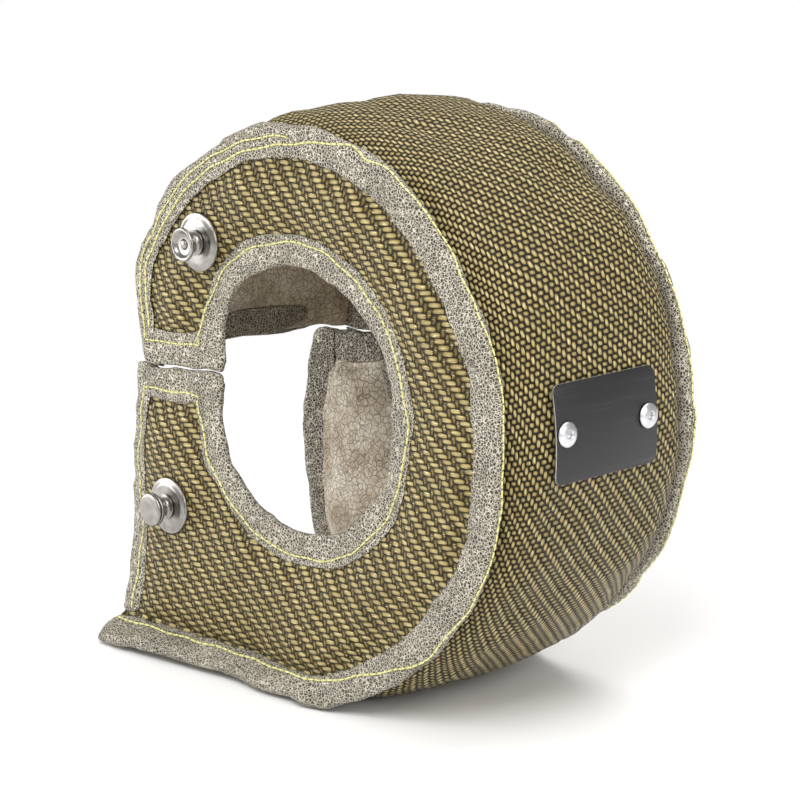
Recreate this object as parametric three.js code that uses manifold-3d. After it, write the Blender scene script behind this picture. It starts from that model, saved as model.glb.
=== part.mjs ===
// Turbo heat blanket: a stitched, insulated cover for a turbine housing.
// Two face panels with a hole and a slit, joined by a band that is open at the mouth.
// The ring's axis runs along Y, +Z is up and the origin is on the flat spot it stands on.
import * as THREE from 'three';
import { mergeVertices } from 'three/addons/utils/BufferGeometryUtils.js';
import Module from 'manifold-3d';

const wasm = await Module();
wasm.setup();

// Driving dimensions of the cover, in millimetres.
const crownRadius = 110; // outer cloth at the top of the band
const seamRadius = 105; // outer edge of the two round seams
const bodyWidth = 95; // from one seam to the other
const axisHeight = 109.5; // ring axis above the flat spot
const crownSag = 0.6; // how far the crown hangs out beside the flat spot
const backEdge = 100; // crown of the straight stretch above the slit, from the axis
const backBlend = 40; // radius between that stretch and the round
const mouthEdge = 104; // free edges of the mouth, from the axis
const mouthTaper = 4; // how much less the mouth edges reach beside the slit
const holeRadius = 50;
const holeLift = 3.5; // hole centre above the ring axis
const lipReach = 8; // how far the slit's lips bulge into the hole
const slitOuterHeight = 4.2; // slit above the ring axis, at its outer end
const slitInnerHeight = 7; // and at the hole
const slitGap = 2.4;

// Layers, from the outside in, and the tape that binds every edge.
const clothThickness = 0.8;
const liningThickness = 0.6;
const facePuff = 2.8; // how far a face bulges out between its tapes
const faceDepth = 7.2; // how far its lining bulges in
const bandDepth = 15; // crown to lining
const tapeWidth = 12.7;
const tapeThickness = 0.8;
const clearance = 0.3;
const puffLength = 5; // run in which the padding swells beside a tape

// Set of the soft cover as it stands.
const footLean = THREE.MathUtils.degToRad(60); // bottom seams fold outwards on the flat spot
const tailSplay = 8; // lower mouth corners, pushed apart
const mouthPinch = 4; // upper mouth edges, drawn together

// Lacing anchors: a dished washer, a spool and a pin through the face.
const upperAnchor = { x: -52, z: 56 };
const lowerAnchor = { x: -72.6, z: -49.5 };
const washerRadius = 11;
const washerDish = 1;
const metalThickness = 0.8;
const spoolHeadRadius = 6.35;
const spoolNeckRadius = 3.2;
const spoolHeight = 6.6;
const pinRadius = 1.8;
const pinDiscRadius = 9.5;

// Name plate, with a blind rivet and a backing washer at each end.
const plateWidth = 51;
const plateHeight = 35;
const plateThickness = 0.8;
const plateCorner = 3;
const plateOffset = -4; // plate centre from mid-width
const plateAngle = THREE.MathUtils.degToRad(3.7); // plate centre above the ring axis
const rivetInset = 5; // rivet axis from the plate's end
const rivetHeadRadius = 4.5;
const rivetHeadHeight = 1.6;
const rivetShankRadius = 1.6;
const backingRadius = 5.5;

const halfWidth = bodyWidth / 2;
const { lerp, smoothstep } = THREE.MathUtils;
const vec = (x, y) => new THREE.Vector2(x, y);

// Levels across a bound edge, from its outer face inwards.
const liningInner = clearance / 2;
const liningOuter = liningInner + liningThickness;
const clothInner = liningOuter + clearance;
const clothOuter = clothInner + clothThickness;
const tapeInner = clothOuter + clearance;
const tapeOuter = tapeInner + tapeThickness;
const foldInset = tapeThickness + clearance; // cloth edge inside the fold of its tape
const tapeEnd = tapeWidth + clearance; // first place clear of a tape
const puffEnd = tapeEnd + puffLength;
const finEdge = tapeWidth - foldInset - clearance; // sheets' edge in a seam

// The seam stands up as a fin; its root is one tape width inside its edge.
const roundRoot = crownRadius - seamRadius + tapeWidth;
const foldRounding = 0.2; // how far the rounded fold falls short of its square corner
const footRoot = tapeWidth * Math.cos(footLean) + tapeOuter * Math.sin(footLean) - foldRounding; // seams bear on the ground

const materials = {
  cloth: { color: 0xa5935e, roughness: 0.55, metalness: 0 },
  insulation: { color: 0xe9e4d6, roughness: 0.95, metalness: 0 },
  lining: { color: 0xc9c2b2, roughness: 0.6, metalness: 0.3 },
  tape: { color: 0x9b958b, roughness: 0.6, metalness: 0.35 },
  steel: { color: 0xb9b5ae, roughness: 0.35, metalness: 1 },
  plate: { color: 0x232427, roughness: 0.4, metalness: 0.5 },
  aluminium: { color: 0xd5d6d8, roughness: 0.35, metalness: 1 },
};

const blanket = new THREE.Group();
const ring = new THREE.Group();
ring.position.z = axisHeight;
blanket.add(ring);

function addMesh(name, geometry, finish) {
  const mesh = new THREE.Mesh(geometry, new THREE.MeshStandardMaterial(materials[finish]));
  mesh.name = name;
  ring.add(mesh);
  return mesh;
}

// How the standing cover bends its faces near the mouth. Works on points about the ring axis.
function settle(point) {
  const side = THREE.MathUtils.clamp(point.y / halfWidth, -1, 1);
  const toTail = smoothstep(-point.x, 30, 90);
  const low = Math.max(1 - (axisHeight + point.z) / (0.34 * axisHeight), 0);
  const toEdge = smoothstep(-point.x, 84, mouthEdge);
  const middle = smoothstep(-point.z, -8, 4) * (1 - smoothstep(-point.z, 50, 84));
  const shift = tailSplay * toTail * low * low - mouthPinch * toEdge * middle;
  return new THREE.Vector3(point.x, point.y + side * shift, point.z);
}

// Tells which of two points is farther out, so that neighbouring sheets are split the same way.
function isOutside(a, b) {
  const difference = Math.hypot(a.x, a.z) - Math.hypot(b.x, b.z);
  return Math.abs(difference) > 1e-4 ? difference > 0 : Math.abs(a.y) > Math.abs(b.y);
}

// Joins a row of closed loops into one solid. Loops hold Vector3s, all of one count.
function loft(loops, capShape) {
  const count = loops[0].length;
  const positions = [];
  const push = (a, b, c) => positions.push(...a.toArray(), ...b.toArray(), ...c.toArray());
  const settled = loops.map((loop) => loop.map(settle));
  for (let i = 0; i + 1 < settled.length; i += 1) {
    for (let j = 0; j < count; j += 1) {
      const k = (j + 1) % count;
      const [a, b] = [settled[i][j], settled[i][k]];
      const [c, d] = [settled[i + 1][j], settled[i + 1][k]];
      if (isOutside(loops[i][j], loops[i][k])) {
        push(a, b, d);
        push(a, d, c);
      } else {
        push(a, b, c);
        push(b, d, c);
      }
    }
  }
  for (const [loop, outline, far] of [
    [settled[0], capShape(0), false], [settled.at(-1), capShape(loops.length - 1), true],
  ]) {
    const turned = outline ? THREE.ShapeUtils.isClockWise(outline) !== far : far;
    for (const [a, b, c] of outline ? THREE.ShapeUtils.triangulateShape(outline, []) : stripFaces(count)) {
      const face = turned ? [loop[a], loop[b], loop[c]] : [loop[a], loop[c], loop[b]];
      push(...face);
    }
  }
  return closedGeometry(positions);
}

// Triangles across the end of a long thin sheet: one pair for each pair of facing points.
function stripFaces(count) {
  const faces = [];
  for (let i = 0; i + 1 < count / 2; i += 1) {
    faces.push([i, i + 1, count - 2 - i], [i, count - 2 - i, count - 1 - i]);
  }
  return faces;
}

// Merges shared corners, drops triangles that have shrunk to a line and turns the faces out.
function closedGeometry(positions) {
  let geometry = new THREE.BufferGeometry();
  geometry.setAttribute('position', new THREE.Float32BufferAttribute(positions, 3));
  geometry = mergeVertices(geometry, 1e-4);
  const index = geometry.getIndex().array;
  const place = geometry.getAttribute('position');
  const kept = [];
  let volume = 0;
  const [a, b, c] = [new THREE.Vector3(), new THREE.Vector3(), new THREE.Vector3()];
  for (let i = 0; i < index.length; i += 3) {
    const [p, q, r] = [index[i], index[i + 1], index[i + 2]];
    if (p !== q && q !== r && r !== p) {
      kept.push(p, q, r);
      a.fromBufferAttribute(place, p);
      b.fromBufferAttribute(place, q);
      c.fromBufferAttribute(place, r);
      volume += a.dot(b.cross(c));
    }
  }
  if (volume < 0) kept.reverse();
  geometry.setIndex(kept);
  return geometry;
}

// Cuts one geometry from another; both are closed.
function cut(geometry, tools) {
  const solid = (shape) => {
    const plain = shape.clone();
    plain.deleteAttribute('normal');
    plain.deleteAttribute('uv');
    const merged = mergeVertices(plain, 1e-4);
    return new wasm.Manifold(new wasm.Mesh({
      numProp: 3,
      vertProperties: new Float32Array(merged.getAttribute('position').array),
      triVerts: new Uint32Array(merged.getIndex().array),
    }));
  };
  let result = solid(geometry);
  for (const tool of tools) result = result.subtract(solid(tool));
  const mesh = result.getMesh();
  const made = new THREE.BufferGeometry();
  made.setAttribute('position', new THREE.BufferAttribute(mesh.vertProperties, 3));
  made.setIndex(new THREE.BufferAttribute(mesh.triVerts, 1));
  return made;
}

// One half of the cover is drawn in (x, depth from the seam plane, z); the rear half mirrors it.
const placeFront = (x, depth, z) => new THREE.Vector3(x, depth - halfWidth, z);
const placeRear = (x, depth, z) => new THREE.Vector3(x, halfWidth - depth, z);

// Stations along the band's crown, from the slit round the top to the tail.
// Each has a place on the crown, the outward normal and how much of the foot's set it has.
const lipX = holeRadius - lipReach;
const seamEase = 8.5 * clearance; // straight run of a face beside the fin's root
const upperEndX = backEdge - roundRoot - seamEase;
const lowerEndX = mouthEdge - mouthTaper - tapeEnd;
const slitAt = (x, side) => {
  const end = (side > 0 ? upperEndX : lowerEndX) - puffLength;
  const place = THREE.MathUtils.clamp(-x, lipX, end);
  return THREE.MathUtils.mapLinear(place, lipX, end, slitInnerHeight, slitOuterHeight);
};
const upperLip = slitOuterHeight + slitGap / 2;
const lowerLip = slitOuterHeight - slitGap / 2;
const edgeSteps = [foldInset, tapeEnd, tapeEnd + puffLength / 4, puffEnd];

function crownStations() {
  const stations = [];
  const add = (x, z, angle, foot, rest = {}) => {
    const normal = vec(Math.cos(angle), Math.sin(angle));
    stations.push({ x, z, normal, foot, puff: 1, ...rest });
  };
  const puffs = [0, 0, 0.25, 1];
  const blendHeight = Math.sqrt((crownRadius - backBlend) ** 2 - (backEdge - backBlend) ** 2);
  edgeSteps.forEach((step, i) => {
    add(-backEdge, upperLip + step, Math.PI, 0, { puff: puffs[i], slitStep: step });
  });
  const blendEnd = Math.atan2(blendHeight, backBlend - backEdge);
  for (const turn of [0, 0.5]) {
    const angle = lerp(Math.PI, blendEnd, turn);
    const x = backBlend - backEdge + backBlend * Math.cos(angle);
    add(x, blendHeight + backBlend * Math.sin(angle), angle, 0);
  }
  const roundEnd = -Math.asin(axisHeight / (crownRadius + crownSag));
  const roundSteps = 21;
  for (let i = 0; i <= roundSteps; i += i < roundSteps - 2 ? 1 : 0.5) {
    const angle = lerp(blendEnd, roundEnd, i / roundSteps);
    const foot = smoothstep(-angle, Math.PI * 0.34, Math.PI * 0.52);
    const reach = crownRadius + crownSag * smoothstep(-angle, Math.PI * 0.2, -roundEnd);
    add(reach * Math.cos(angle), reach * Math.sin(angle), angle, foot);
  }
  const down = -Math.PI / 2;
  for (const x of [6, -4, -27, -50, -70]) add(x, -axisHeight, down, 1);
  edgeSteps.toReversed().forEach((step, i) => {
    add(step - mouthEdge, -axisHeight, down, 1, { puff: puffs[3 - i], tail: true });
  });
  return stations;
}
const stations = crownStations();

// Station with its fin: the fin's root lies under the crown and leans outwards at the foot.
const rootInset = (station) => lerp(roundRoot, footRoot, station.foot);
function finPoint(station, along, across) {
  const lean = along < 0 ? 0 : footLean * station.foot;
  const reach = along * Math.cos(lean) + across * Math.sin(lean);
  return vec(reach - rootInset(station), across * Math.cos(lean) - along * Math.sin(lean));
}
function stationPoint(station, point, place) {
  const x = station.x + station.normal.x * point.x;
  const z = station.z + station.normal.y * point.x;
  return place(x, point.y, z);
}

// Shifts a drawn path to its left by a fixed distance, with mitred corners.
function offsetPath(path, distance) {
  return path.map((point, i) => {
    const before = path[Math.max(i - 1, 0)];
    const after = path[Math.min(i + 1, path.length - 1)];
    const first = (i === 0 ? after.clone().sub(point) : point.clone().sub(before)).normalize();
    const second = (i === path.length - 1 ? first.clone() : after.clone().sub(point)).normalize();
    const normal = vec(-first.y - second.y, first.x + second.x).normalize();
    const miter = Math.max(normal.dot(vec(-first.y, first.x)), 0.5);
    return point.clone().addScaledVector(normal, distance / miter);
  });
}
const mirrored = (path) => path.map((point) => vec(point.x, bodyWidth - point.y)).reverse();
const whole = (half) => [...half, ...mirrored(half)];

// Half of the band's section, from the fin's edge to mid-width: outer cloth and lining.
function bandClothPath(station) {
  const root = rootInset(station);
  const flat = 1 - station.foot;
  const edge = root * 0.42;
  const swell = (share, depth) => vec(-lerp(edge, root * share, station.puff), depth);
  return [
    finPoint(station, finEdge, clothOuter),
    finPoint(station, 0, clothOuter),
    finPoint(station, -clearance, clothOuter),
    finPoint(station, -clearance, tapeOuter + clearance),
    vec(-root * 0.6, tapeOuter + 2 * clearance),
    swell(0.3, tapeOuter + 12 * clearance),
    swell(0.1 * flat, bodyWidth * 0.14),
    swell(0.01 * flat, bodyWidth * 0.27),
  ];
}
function bandLiningPath(station) {
  const turn = clearance + clothThickness + clearance;
  const edge = rootInset(station) * 0.42 + clothThickness + clearance;
  const level = -lerp(edge, bandDepth, station.puff);
  return [
    finPoint(station, finEdge, liningOuter),
    finPoint(station, 0, liningOuter),
    finPoint(station, -turn, liningOuter),
    finPoint(station, -turn, tapeOuter + 2 * clearance + clothThickness),
    vec(level, tapeOuter + 2 * turn + clothThickness + liningThickness),
    vec(level, bodyWidth * 0.27),
  ];
}

// Both sides of a sheet of the band. The level is its outer side in the fin.
const sheetOf = (pathOf, thickness, level) => (station) => {
  const outer = pathOf(station);
  const inner = offsetPath(whole(outer), thickness).slice(0, outer.length);
  inner[0] = finPoint(station, finEdge, level - thickness);
  inner[1] = finPoint(station, 0, level - thickness);
  return [...whole(outer), ...whole(inner).reverse()];
};

// The padding fills the band between its sheets, clear of the tapes.
const between = (a, b, share) => a.clone().lerp(b, share);
function bandPaddingSection(station) {
  const outer = offsetPath(whole(bandClothPath(station)), clothThickness + clearance);
  const inner = offsetPath(whole(bandLiningPath(station)), -3 * clearance);
  const outerHalf = [between(outer[4], outer[5], 0.45), outer[5], outer[6], outer[7]];
  const innerHalf = [between(inner[3], inner[4], 0.9), inner[4], inner[5]];
  return [...whole(outerHalf), ...whole(innerHalf).reverse()];
}

// Folded tape over a seam's fin, from one end station to the other.
function seamTapeSection(station) {
  const start = 3 * clearance * station.foot;
  const round = tapeWidth - tapeThickness / 2;
  const floor = tapeWidth - tapeThickness;
  return [
    [start, tapeOuter], [round, tapeOuter], [tapeWidth, 0], [round, -tapeOuter], [start, -tapeOuter],
    [start, -tapeInner], [floor, -tapeInner], [floor, tapeInner], [start, tapeInner],
  ].map(([along, across]) => finPoint(station, along, across));
}
const seamStations = [
  { ...stations[0], z: upperLip },
  ...stations.slice(1, -1),
  { ...stations.at(-1), x: -mouthEdge },
];

// Lofts one section along a row of stations on the front or the rear half.
function along(row, sectionOf, place) {
  const sections = row.map(sectionOf);
  const loops = row.map((station, i) => (
    sections[i].map((point) => stationPoint(station, point, place))));
  return loft(loops, (i) => sections[i]);
}

// Columns of a face panel: a point on the hole's edge and the stations of its outer edge.
const mouthReach = (z) => mouthEdge - mouthTaper * smoothstep(z, -backBlend, lowerLip);
const holeEdgeX = (z) => {
  const round = Math.sqrt(holeRadius ** 2 - (z - holeLift) ** 2);
  return lipReach * (1 - smoothstep(Math.abs(z - slitInnerHeight), 0, 2.7 * lipReach)) - round;
};
const holePoint = (angle, radius = holeRadius) => (
  vec(radius * Math.cos(angle), holeLift + radius * Math.sin(angle)));
const holeAngle = (point) => Math.atan2(point.y - holeLift, point.x);
const turnFromSlit = (point) => (2 * Math.PI + Math.PI - holeAngle(point)) % (2 * Math.PI);
const footLevel = axisHeight - footRoot;

const mouthRows = [
  { z: seamEase - footLevel, puff: 1 },
  { z: seamEase + puffLength - footLevel, puff: 1 },
  ...[0.8, 0.6, 0.4, 0.25].map((share) => ({ z: lerp(lowerLip, -footLevel, share), puff: 1 })),
  ...edgeSteps.toReversed().map((step, i) => (
    { z: lowerLip - step, puff: [1, 0.25, 0, 0][i], slitStep: step })),
];

function faceColumns() {
  const columns = [];
  for (const station of stations) {
    const at = (path) => vec(station.x + station.normal.x * path.x, station.z + station.normal.y * path.x);
    const inPlane = (along) => at(vec(along - rootInset(station), 0));
    const ease = inPlane(-seamEase);
    const full = inPlane(-seamEase - puffLength);
    ease.x = Math.max(ease.x, tapeEnd - mouthEdge);
    full.x = Math.max(full.x, puffEnd - mouthEdge);
    const fin = (along) => (across) => {
      const point = finPoint(station, along, across);
      return { plane: at(point), depth: point.y };
    };
    const puff = station.tail ? 1 : station.puff;
    columns.push({
      ease, full, puff, root: fin(0), edge: fin(finEdge), slitStep: station.slitStep, side: 1,
    });
  }
  const corner = columns.at(-1);
  columns.push({ ...corner, edge: corner.root });
  const free = (z, puff, slitStep) => {
    const reach = mouthReach(z);
    const edge = (across) => ({ plane: vec(foldInset - reach, z), depth: across });
    columns.push({
      ease: vec(tapeEnd - reach, Math.max(z, seamEase - footLevel)),
      full: vec(puffEnd - reach, Math.max(z, seamEase + puffLength - footLevel)),
      puff, root: edge, edge, slitStep, side: -1,
    });
  };
  for (const { z, puff, slitStep } of mouthRows) free(z, puff, slitStep);
  placeHoleEnds(columns);
  return columns;
}

// Gives every column its point on the hole's edge. Beside the slit the columns run along it.
function placeHoleEnds(columns) {
  const lipEnd = (side, step) => {
    const z = slitInnerHeight + side * (slitGap / 2 + step);
    return vec(holeEdgeX(z), z);
  };
  const outerTurn = (column) => turnFromSlit(column.full);
  const round = columns.filter((column) => column.slitStep === undefined);
  const first = columns.find((column) => column.slitStep === puffEnd);
  const last = columns.findLast((column) => column.slitStep === puffEnd);
  const from = turnFromSlit(lipEnd(1, puffEnd));
  const to = turnFromSlit(lipEnd(-1, puffEnd));
  for (const column of round) {
    const turn = THREE.MathUtils.mapLinear(outerTurn(column), outerTurn(first), outerTurn(last), from, to);
    column.hole = holePoint(Math.PI - turn);
  }
  for (const column of columns) {
    column.hole ??= lipEnd(column.side, column.slitStep);
  }
}
const columns = faceColumns();

// One sheet of a face between two levels, each with the bulge it has away from the tapes.
function faceLoops(outer, inner, place, isPadding) {
  const used = isPadding ? columns.filter((column) => column.puff > 0) : columns;
  const knots = (column, { level, bulge }) => {
    const run = column.full.clone().sub(column.hole).normalize();
    const spoke = vec(column.hole.x, column.hole.y - holeLift);
    const lean = spoke.dot(run);
    const at = (length) => {
      const reach = (holeRadius + length) ** 2 - holeRadius ** 2;
      const travel = column.slitStep === undefined ? Math.sqrt(lean ** 2 + reach) - lean : length;
      return column.hole.clone().addScaledVector(run, travel);
    };
    const flat = (plane, share) => ({ plane, depth: level + bulge * share * column.puff });
    if (isPadding) {
      return [
        flat(at(tapeEnd + 0.5 * puffLength), 0.25),
        flat(at(puffEnd), 1),
        flat(column.full, 1),
        flat(column.full.clone().lerp(column.ease, 0.5), 0.25),
      ];
    }
    return [
      flat(at(column.slitStep === foldInset ? 2.5 * foldInset : foldInset + clearance), 0),
      flat(at(tapeEnd), 0),
      flat(at(puffEnd), 1),
      flat(column.full, 1),
      flat(column.ease, 0),
      column.root(level),
      column.edge(level),
    ];
  };
  return used.map((column) => (
    [...knots(column, outer), ...knots(column, inner).reverse()]
      .map(({ plane, depth }) => place(plane.x, depth, plane.y))));
}
function facePanel(outer, inner, place, isPadding = false) {
  return loft(faceLoops(outer, inner, place, isPadding), () => null);
}

// Tape folded over a free edge: each column has a fold point and the place its legs reach.
const freeFront = [clothOuter + clearance, tapeOuter].map((level) => -level);
const freeBack = [liningInner, liningInner + tapeThickness];
function freeTape(folds, legs, place) {
  const sectionOf = (length) => [
    [length, freeFront[1]], [tapeThickness / 2, freeFront[1]], [0, (freeFront[1] + freeBack[1]) / 2],
    [tapeThickness / 2, freeBack[1]], [length, freeBack[1]], [length, freeBack[0]],
    [tapeThickness, freeBack[0]], [tapeThickness, freeFront[0]], [length, freeFront[0]],
  ].map(([x, y]) => vec(x, y));
  const loops = folds.map((fold, i) => {
    const run = legs[i].clone().sub(fold);
    const length = run.length();
    run.normalize();
    return sectionOf(length).map((point) => (
      place(fold.x + run.x * point.x, point.y, fold.y + run.y * point.x)));
  });
  return loft(loops, () => sectionOf(tapeWidth));
}

// One tape runs along the slit's upper lip, round the hole and back along its lower lip.
function holeTape(place) {
  const folds = [];
  const legs = [];
  const cornerRadius = 3;
  const legFillet = 1.5;
  const lip = (side, outerX) => {
    const edge = (x, step) => vec(x, slitAt(x, side) + side * (slitGap / 2 + step));
    const legZ = slitInnerHeight + side * (slitGap / 2 + tapeWidth);
    const pivot = vec(holeEdgeX(legZ) - tapeWidth, legZ);
    const fan = [edge(pivot.x + tapeWidth / 3, 0), edge(-lipX - cornerRadius, 0)];
    for (const share of [0.45, 1]) {
      const turn = share * Math.PI / 2;
      const z = slitInnerHeight + side * (slitGap / 2 + cornerRadius * (1 - Math.cos(turn)));
      fan.push(vec(-lipX - cornerRadius * (1 - Math.sin(turn)), z));
    }
    for (const step of [0.6, 1.05]) {
      const z = slitInnerHeight + side * (slitGap / 2 + step * tapeWidth);
      fan.push(vec(holeEdgeX(z), z));
    }
    const made = [outerX, outerX - puffLength].map((x) => [edge(-x, 0), edge(-x, tapeWidth)]);
    made.push([edge(pivot.x - tapeWidth / 3, 0), edge(pivot.x - tapeWidth / 3, tapeWidth)]);
    fan.forEach((fold, i) => {
      const turn = (i / (fan.length - 1)) * Math.PI / 2;
      const fillet = vec(Math.sin(turn) - 1, side * (1 - Math.cos(turn)));
      const leg = pivot.clone().addScaledVector(fillet, legFillet);
      made.push([fold, leg]);
    });
    return made;
  };
  const upper = lip(1, upperEndX);
  const lower = lip(-1, lowerEndX);
  const turnAt = (side) => turnFromSlit(vec(holeEdgeX(slitInnerHeight + side * 2.2 * tapeWidth / 1.25),
    slitInnerHeight + side * 2.2 * tapeWidth / 1.25));
  const roundSteps = 24;
  const middle = [];
  for (let i = 0; i <= roundSteps; i += 1) {
    const angle = Math.PI - lerp(turnAt(1), turnAt(-1), i / roundSteps);
    middle.push([holePoint(angle), holePoint(angle, holeRadius + tapeWidth)]);
  }
  for (const [fold, leg] of [...upper, ...middle, ...lower.reverse()]) {
    folds.push(fold);
    legs.push(leg);
  }
  return freeTape(folds, legs, place);
}

function mouthTape(place) {
  const rows = [seamEase + clearance - footLevel, ...mouthRows.slice(1).map((row) => row.z), lowerLip];
  const folds = rows.map((z) => vec(-mouthReach(z), z));
  return freeTape(folds, folds.map((fold) => vec(fold.x + tapeWidth, fold.y)), place);
}

// Tape over an end of the band, across its width between the fins.
function endTape(station, edgePlace) {
  const cloth = rootInset(station) * 0.42;
  const inner = cloth + clothThickness + clearance + liningThickness;
  const section = [
    [tapeWidth, cloth - clearance - tapeThickness], [tapeThickness / 2, cloth - clearance - tapeThickness],
    [0, (cloth + inner) / 2], [tapeThickness / 2, inner + clearance + tapeThickness],
    [tapeWidth, inner + clearance + tapeThickness], [tapeWidth, inner + clearance],
    [tapeThickness, inner + clearance], [tapeThickness, cloth - clearance], [tapeWidth, cloth - clearance],
  ].map(([x, y]) => vec(x, y));
  const side = halfWidth - tapeOuter - 16 * clearance;
  const loops = [-side, side].map((y) => section.map((point) => edgePlace(point, y)));
  return loft(loops, () => section);
}

// Turned parts stand on the face along -Y; their profiles are (radius, height above the cloth).
const faceLevel = -(clothOuter + facePuff);
const liningLevel = faceDepth - liningInner;
function turned(profile, segments = 20) {
  return new THREE.LatheGeometry(profile.map(([r, h]) => vec(r, h)), segments);
}
function washerGeometry() {
  const hole = spoolNeckRadius - 1;
  const top = washerDish + metalThickness;
  return turned([
    [hole, washerDish], [0.75 * washerRadius, washerDish], [0.95 * washerRadius, 0],
    [washerRadius, 0.5 * metalThickness], [0.97 * washerRadius, metalThickness + 0.15],
    [0.78 * washerRadius, top], [hole, top], [hole, washerDish],
  ]);
}
function spoolGeometry() {
  const base = washerDish + metalThickness + clearance;
  const top = base + spoolHeight;
  const bore = pinRadius + clearance;
  return turned([
    [bore, base], [1.5 * spoolNeckRadius, base], [1.5 * spoolNeckRadius, base + 0.6],
    [spoolNeckRadius, base + 1.2], [spoolNeckRadius, top - 2.6], [1.2 * spoolNeckRadius, top - 2.2],
    [spoolHeadRadius, top - 1.1], [spoolHeadRadius, top - 0.3], [spoolHeadRadius - 0.6, top],
    [spoolHeadRadius - 1.6, top - 0.3], [1.25 * spoolNeckRadius, top - 1.4], [bore, top - 1.4],
    [bore, base],
  ]);
}
function pinGeometry(capped) {
  const disc = -(liningLevel - faceLevel) - 2 * clearance;
  const top = washerDish + metalThickness + clearance + spoolHeight - (capped ? 1.4 : 0.7);
  return turned([
    [0, disc - metalThickness], [pinDiscRadius, disc - metalThickness], [pinDiscRadius, disc],
    [pinRadius, disc], [pinRadius, top - 0.6], [0.6 * pinRadius, top], [0, top],
  ]);
}
function capGeometry() {
  const seat = washerDish + metalThickness + 2 * clearance + spoolHeight;
  return turned([
    [0, seat], [spoolHeadRadius - 0.5, seat], [spoolHeadRadius, seat + 0.4],
    [spoolHeadRadius - 0.4, seat + 0.9], [spoolHeadRadius - 1.4, seat + 1.1], [0, seat + 1.2],
  ]);
}
function addAnchor(name, { x, z }, capped) {
  const pieces = { washer: washerGeometry(), spool: spoolGeometry(), pin: pinGeometry(capped) };
  if (capped) pieces.cap = capGeometry();
  for (const [piece, geometry] of Object.entries(pieces)) {
    const mesh = addMesh(`${name}_${piece}`, geometry, 'steel');
    mesh.rotation.x = Math.PI;
    mesh.position.set(x, faceLevel - halfWidth - clearance, z);
  }
}
// Clearance hole for an anchor's pin, through every layer of the front face.
function pinHole({ x, z }) {
  const tool = new THREE.CylinderGeometry(pinRadius + clearance, pinRadius + clearance, 4 * faceDepth, 12);
  return tool.translate(x, -halfWidth, z);
}

// The plate follows the crown. Its parts are drawn about the ring axis at the plate's angle.
const plateRadius = crownRadius + clearance;
function plateGeometry() {
  const rows = [];
  const corner = [[0, 1], [0.13, 0.5], [0.5, 0.13], [1, 0]];
  for (const [up, inset] of corner) rows.push([-plateHeight / 2 + up * plateCorner, inset * plateCorner]);
  for (const share of [-0.15, 0.15]) rows.push([share * plateHeight, 0]);
  for (const [up, inset] of corner.toReversed()) {
    rows.push([plateHeight / 2 - up * plateCorner, inset * plateCorner]);
  }
  const section = [vec(-1, 0), vec(1, 0), vec(1, plateThickness), vec(-1, plateThickness)];
  const loops = rows.map(([rise, inset]) => {
    const angle = plateAngle + rise / plateRadius;
    return section.map((point) => {
      const radius = plateRadius + point.y;
      const y = plateOffset + point.x * (plateWidth / 2 - inset);
      return new THREE.Vector3(radius * Math.cos(angle), y, radius * Math.sin(angle));
    });
  });
  return loft(loops, () => section);
}
const backingDepth = 3; // backing washer's outer face, inside the crown
const rivetEnd = backingDepth + metalThickness + clearance;
function rivetGeometry() {
  const face = plateRadius + plateThickness + clearance - crownRadius;
  return turned([
    [0, -rivetEnd - 1.2], [1.6 * rivetShankRadius, -rivetEnd - 1.2], [1.6 * rivetShankRadius, -rivetEnd],
    [rivetShankRadius, -rivetEnd], [rivetShankRadius, face], [rivetHeadRadius, face],
    [0.9 * rivetHeadRadius, face + 0.5], [0.6 * rivetHeadRadius, face + 0.9 * rivetHeadHeight],
    [0.3 * rivetHeadRadius, face + rivetHeadHeight], [0.3 * rivetHeadRadius, face + 0.4], [0, face + 0.4],
  ], 16);
}
function backingGeometry() {
  const bore = rivetShankRadius + clearance;
  const back = -backingDepth - metalThickness;
  return turned([
    [bore, -backingDepth], [bore, back], [backingRadius, back], [backingRadius, -backingDepth],
    [bore, -backingDepth],
  ], 16);
}
// Puts a shape drawn along +Y onto the crown at a rivet.
function atRivet(geometry, side) {
  const y = plateOffset + side * (plateWidth / 2 - rivetInset);
  return geometry
    .rotateZ(-Math.PI / 2)
    .translate(crownRadius, 0, 0)
    .rotateY(-plateAngle)
    .translate(0, y, 0);
}
const rivetSides = [['front', -1], ['rear', 1]];
const bore = (radius, depth) => new THREE.CylinderGeometry(radius, radius, depth, 14);
const rivetHoles = rivetSides.map(([, side]) => (
  atRivet(bore(rivetShankRadius + clearance, 2 * backingDepth), side)));
const rivetPockets = rivetSides.map(([, side]) => (
  atRivet(bore(backingRadius + clearance, 2 * (rivetEnd + 1.2 + clearance)), side)));

// Assembly.
const anchors = [upperAnchor, lowerAnchor];
const cloth = { outer: { level: -clothOuter, bulge: -facePuff }, inner: { level: -clothInner, bulge: -facePuff } };
const lining = { outer: { level: -liningOuter, bulge: faceDepth }, inner: { level: -liningInner, bulge: faceDepth } };
const padding = {
  outer: { level: -clothInner + clearance, bulge: -facePuff },
  inner: { level: -liningOuter - 2 * clearance, bulge: faceDepth },
};
for (const [side, place] of [['front', placeFront], ['rear', placeRear]]) {
  const pierce = (geometry) => (side === 'front' ? cut(geometry, anchors.map(pinHole)) : geometry);
  addMesh(`${side}_outer_cloth`, pierce(facePanel(cloth.outer, cloth.inner, place)), 'cloth');
  addMesh(`${side}_insulation`, pierce(facePanel(padding.outer, padding.inner, place, true)), 'insulation');
  addMesh(`${side}_lining`, pierce(facePanel(lining.outer, lining.inner, place)), 'lining');
  addMesh(`${side}_seam_binding`, along(seamStations, seamTapeSection, place), 'tape');
  addMesh(`${side}_hole_binding`, holeTape(place), 'tape');
  addMesh(`${side}_mouth_binding`, mouthTape(place), 'tape');
}

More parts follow.
